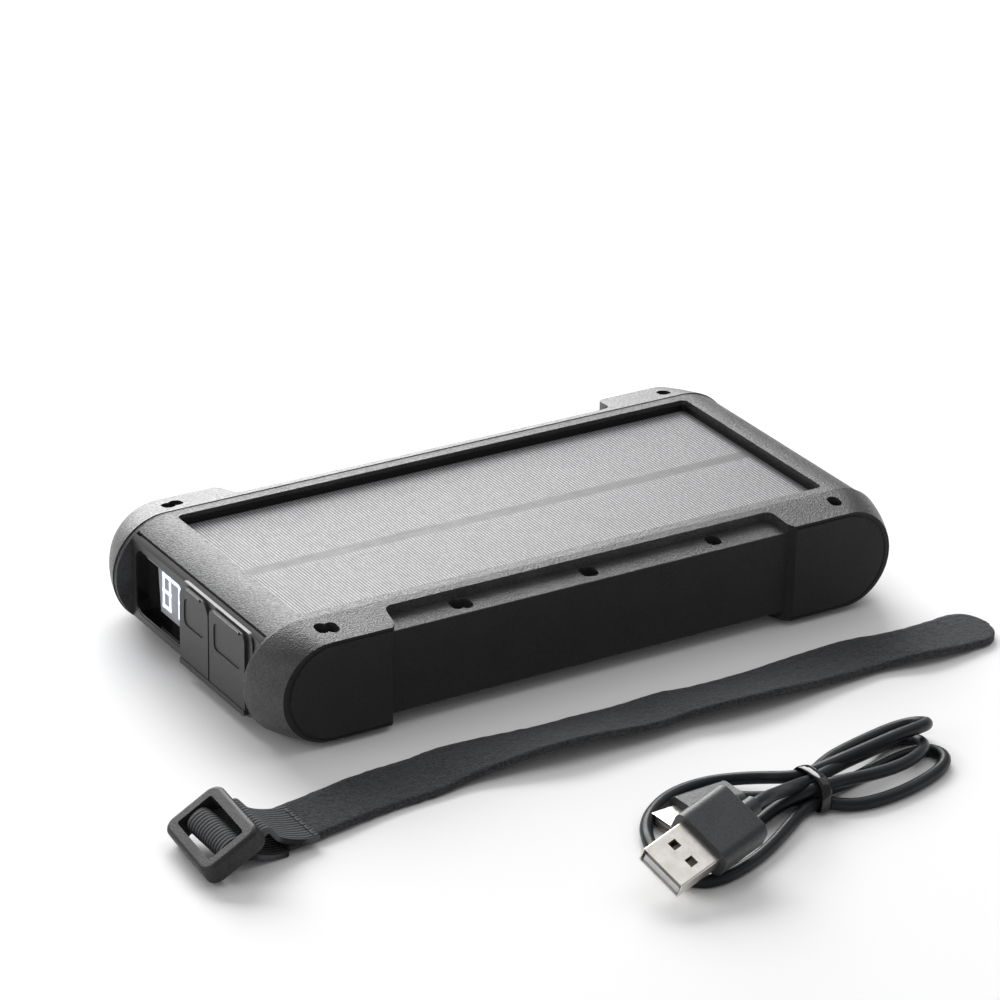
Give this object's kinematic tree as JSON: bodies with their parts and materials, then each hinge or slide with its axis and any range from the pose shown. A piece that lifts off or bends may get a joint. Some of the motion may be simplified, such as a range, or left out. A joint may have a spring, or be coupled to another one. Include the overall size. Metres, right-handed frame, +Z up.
{
  "type": "solar phone charger",
  "caption": "Rugged solar power bank with side rails, a display and covered ports at one end, a hook-and-loop strap and a short USB-A to USB-C cable.",
  "frame": {"origin": "middle of the charger's underside", "axes": "+X along the charger away from its ports, +Y to its far side, +Z up out of the solar panel"},
  "size_m": [0.2243, 0.1893, 0.0285],
  "materials": {
    "rail_plastic": "spark-textured",
    "shell_plastic": "spark-textured",
    "panel_plastic": "satin",
    "gloss_black": "polished",
    "smoked_window": "polished",
    "display_face": "matte",
    "cover_rubber": "satin",
    "black_rubber": "satin",
    "solar_silicon": "satin",
    "clear_laminate": "satin",
    "board_laminate": "satin",
    "socket_steel": "satin",
    "screw_steel": "black zinc",
    "chip_black": "matte",
    "ferrite": "matte",
    "capacitor_can": "satin",
    "cell_foil": "satin",
    "foam": "matte",
    "nickel": "satin",
    "buckle_plastic": "fine-textured",
    "webbing": "woven",
    "band_fabric": "napped",
    "thread": "twisted",
    "plug_nickel": "satin",
    "tongue_plastic": "satin",
    "contact_gold": "polished",
    "overmold_plastic": "fine-textured",
    "cable_pvc": "satin",
    "tie_plastic": "polished"
  },
  "bodies": {
    "charger": {"near_side_rail": "rail_plastic", "far_side_rail": "rail_plastic", "rail_screws": "screw_steel", "upper_shell": "shell_plastic", "lower_shell": "shell_plastic", "shell_screws": "screw_steel", "solar_board": "board_laminate", "solar_cells": "solar_silicon", "solar_cover": "clear_laminate", "solar_gasket": "black_rubber", "port_panel": "panel_plastic", "display_bezel": "gloss_black", "display_window": "smoked_window", "display_module": "display_face", "cover_strip": "cover_rubber", "usb_c_port": "socket_steel", "usb_a_port": "socket_steel", "main_board": "board_laminate", "controller_chips": "chip_black", "power_inductor": "ferrite", "filter_capacitors": "capacitor_can", "battery_cells": "cell_foil", "cell_foam": "foam", "cell_tabs": "nickel", "switch_board": "board_laminate", "power_switch": "chip_black"},
    "usb_c_cover": {"usb_c_cover": "cover_rubber"},
    "output_cover": {"output_cover": "cover_rubber"},
    "power_button": {"power_button": "cover_rubber"},
    "strap": {"strap_buckle": "buckle_plastic", "webbing_loop": "webbing", "hook_and_loop_band": "band_fabric", "strap_stitches": "thread"},
    "cable": {"usb_a_shell": "plug_nickel", "usb_a_tongue": "tongue_plastic", "usb_a_contacts": "contact_gold", "usb_a_overmold": "overmold_plastic", "usb_c_shell": "plug_nickel", "usb_c_insert": "tongue_plastic", "usb_c_overmold": "overmold_plastic", "usb_a_lead": "cable_pvc", "usb_c_lead": "cable_pvc", "cable_bundle": "cable_pvc", "cable_tie": "tie_plastic"}
  },
  "joints": [
    {"name": "usb_c_cover_hinge", "type": "hinge", "parent": "charger", "child": "usb_c_cover", "pos_m": [-0.0851, -0.0017, 0.005], "axis": [0, -1, 0], "range_deg": [0, 100]},
    {"name": "output_cover_hinge", "type": "hinge", "parent": "charger", "child": "output_cover", "pos_m": [-0.0851, -0.0181, 0.005], "axis": [0, -1, 0], "range_deg": [0, 100]},
    {"name": "power_button_press", "type": "slide", "parent": "charger", "child": "power_button", "axis": [-1, 0, 0], "range_m": [0, 0.0005], "stiffness_N_per_m": 800},
    {"name": "strap_lift", "type": "slide", "parent": "charger", "child": "strap", "axis": [0, 0, 1], "range_m": [0, 0.15]},
    {"name": "cable_lift", "type": "slide", "parent": "charger", "child": "cable", "axis": [0, 0, 1], "range_m": [0, 0.15]}
  ]
}
